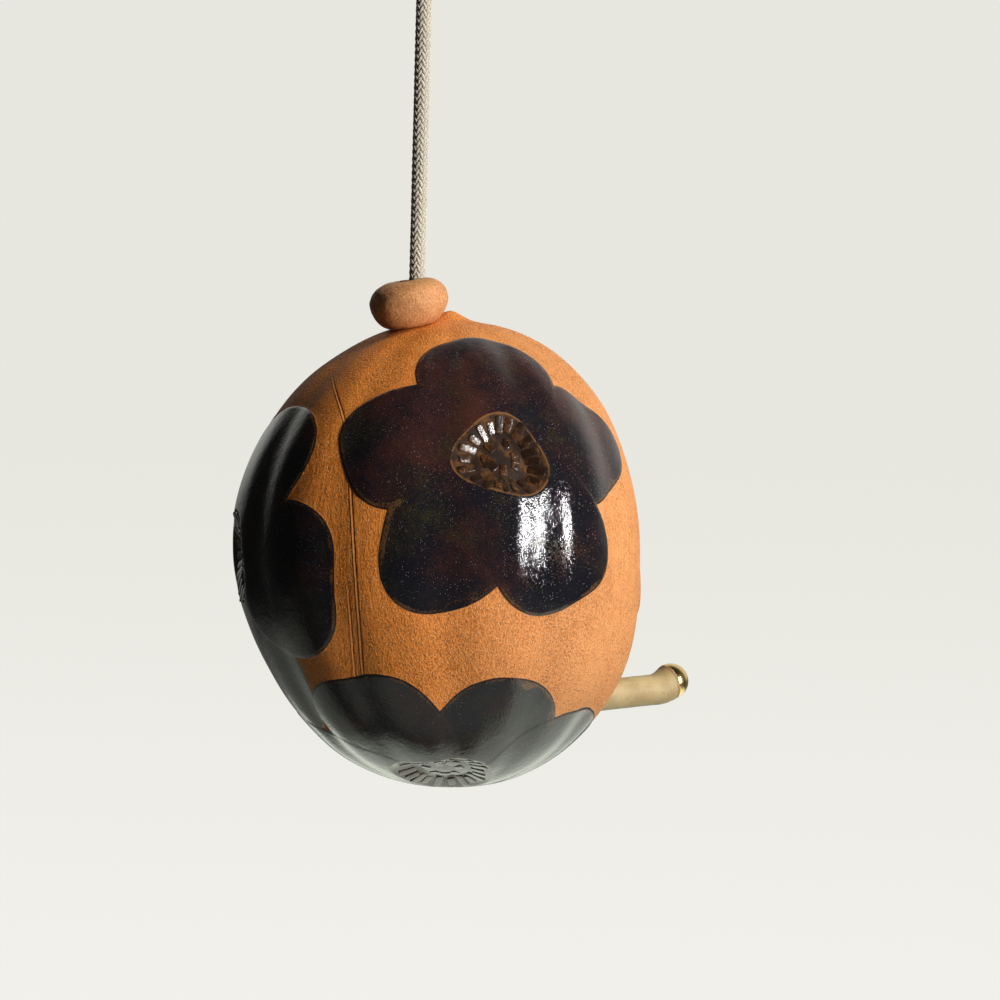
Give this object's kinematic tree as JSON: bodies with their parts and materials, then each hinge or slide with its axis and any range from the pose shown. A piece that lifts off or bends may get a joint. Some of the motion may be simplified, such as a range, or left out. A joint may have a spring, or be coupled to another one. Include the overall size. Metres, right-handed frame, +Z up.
{
  "type": "hanging ceramic birdhouse",
  "caption": "Lobed egg-shaped clay birdhouse with a round lipped entrance and an upturned perch, hung below a clay bead on a looped braided cord.",
  "frame": {"origin": "the inside top of the hanging loop, where it bears on a hook", "axes": "+Z up along the plumb cord; -Y is the front, where the entrance and the perch face; +X completes a right-handed set"},
  "size_m": [0.1255, 0.1579, 0.3197],
  "materials": {
    "terracotta": "unglazed fired stoneware clay with fine grog, matte",
    "perch_glaze": "cream satin glaze, gold lustre on the tip",
    "bead_clay": "unglazed fired clay, rolled by hand, matte",
    "braid": "taupe braided cord with a slight sheen"
  },
  "bodies": {
    "cord": {"hanging_cord": "braid", "hanging_loop": "braid", "loop_knot": "braid", "stopper_knot": "braid"},
    "house": {"body_shell": "terracotta", "perch": "perch_glaze"},
    "bead": {"cord_bead": "bead_clay"}
  },
  "joints": [
    {"name": "house_twist", "type": "hinge", "parent": "cord", "child": "house", "pos_m": [0, 0, -0.1725], "axis": [0, 0, 1], "continuous": true},
    {"name": "bead_slide", "type": "slide", "parent": "house", "child": "bead", "axis": [0, 0, 1], "range_m": [0, 0.09]}
  ]
}
